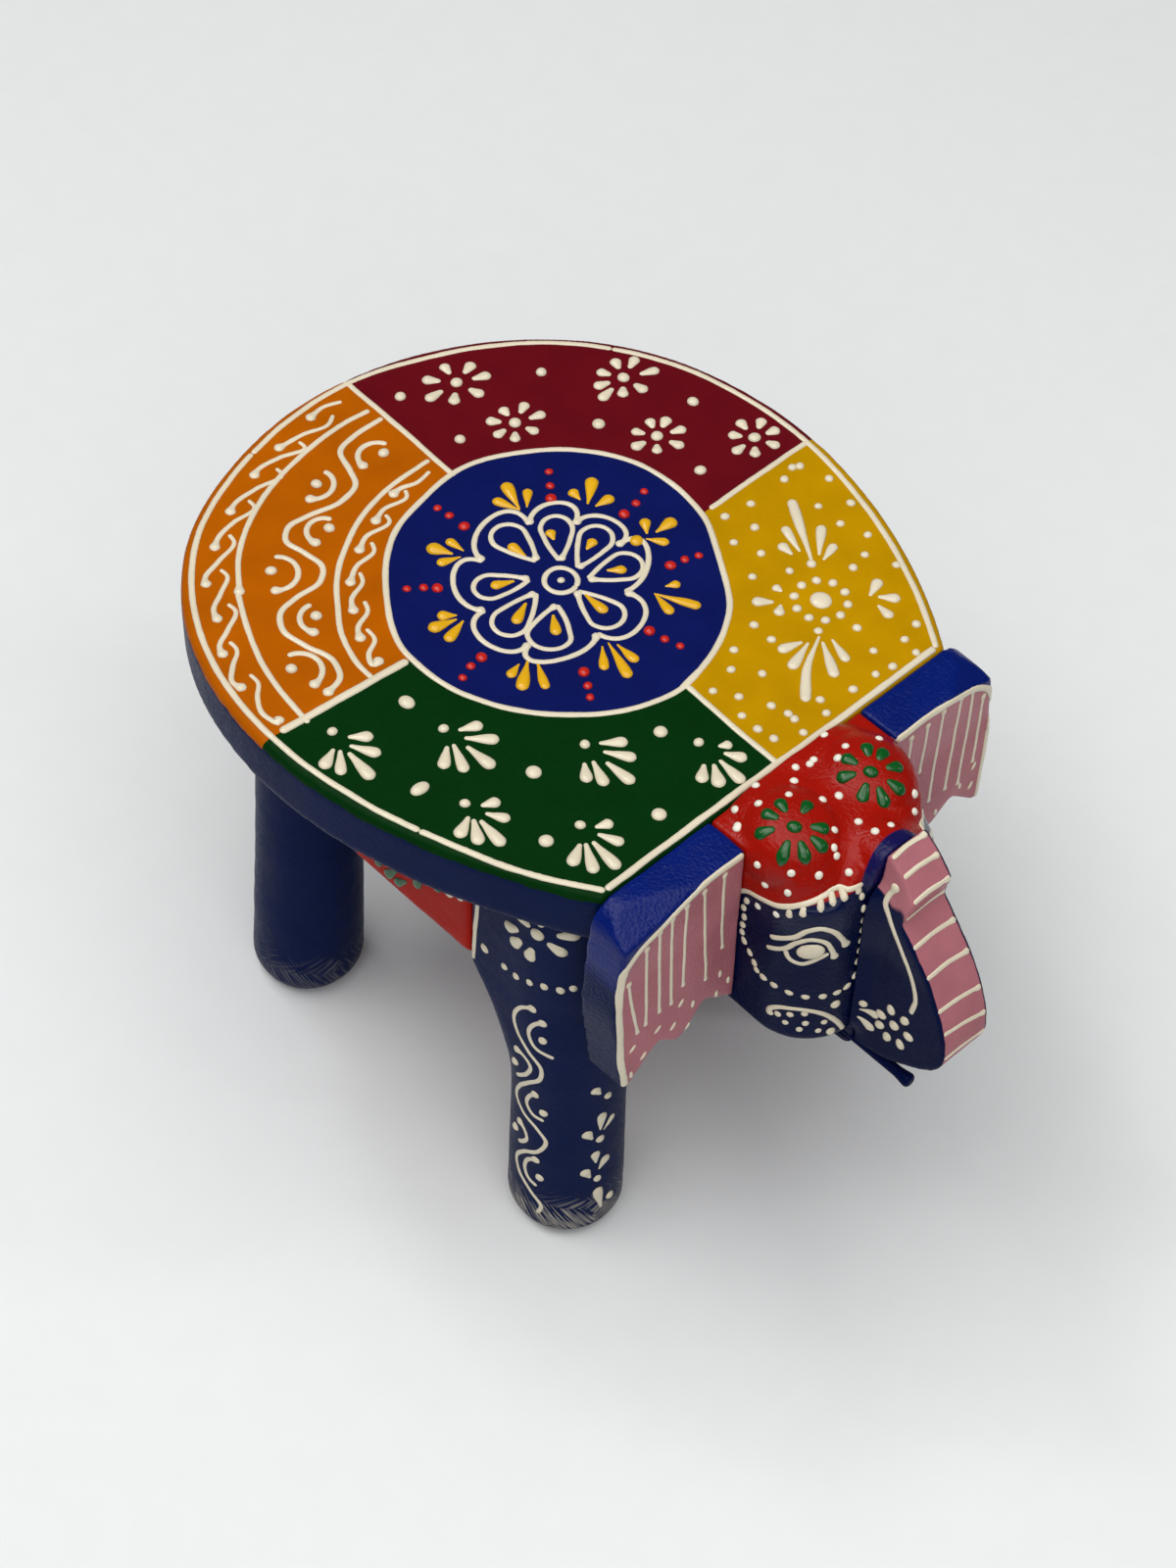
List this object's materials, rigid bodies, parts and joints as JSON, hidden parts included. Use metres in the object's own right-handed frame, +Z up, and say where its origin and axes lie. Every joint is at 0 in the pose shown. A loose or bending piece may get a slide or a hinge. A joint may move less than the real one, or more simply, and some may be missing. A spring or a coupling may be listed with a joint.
{
  "type": "carved elephant stool",
  "caption": "Low painted wooden stool carved as an elephant: oval seat board on a body with round legs, domed head, plate ears, ridged trunk and peg tusks.",
  "frame": {"origin": "on the floor, under the middle of the stool's length and width", "axes": "+X towards the head and trunk, +Y towards the elephant's left, +Z up"},
  "size_m": [0.2639, 0.1934, 0.1777],
  "materials": {
    "seat_paint": "gloss enamel in four coloured quarters with raised cream line work",
    "belly_paint": "satin red enamel with green and white motifs",
    "leg_paint": "satin navy enamel, worn at the feet, with raised cream motifs",
    "head_paint": "gloss navy face under a red cap with green flowers",
    "trunk_paint": "satin pink front with cream stripes, navy sides",
    "ear_paint": "pink front with cream lines, gloss blue top and edge",
    "tusk_paint": "satin navy enamel",
    "bare_wood": "bare turned hardwood dowel, glued"
  },
  "bodies": {
    "root": {"seat_board": "seat_paint", "body_block": "belly_paint", "leg_front_left": "leg_paint", "leg_front_right": "leg_paint", "leg_rear_left": "leg_paint", "leg_rear_right": "leg_paint", "head_block": "head_paint", "trunk": "trunk_paint", "ear_left": "ear_paint", "ear_right": "ear_paint", "tusk_left": "tusk_paint", "tusk_right": "tusk_paint", "seat_dowels": "bare_wood", "leg_dowels": "bare_wood", "head_dowels": "bare_wood", "ear_dowels": "bare_wood", "trunk_dowels": "bare_wood"}
  },
  "joints": []
}
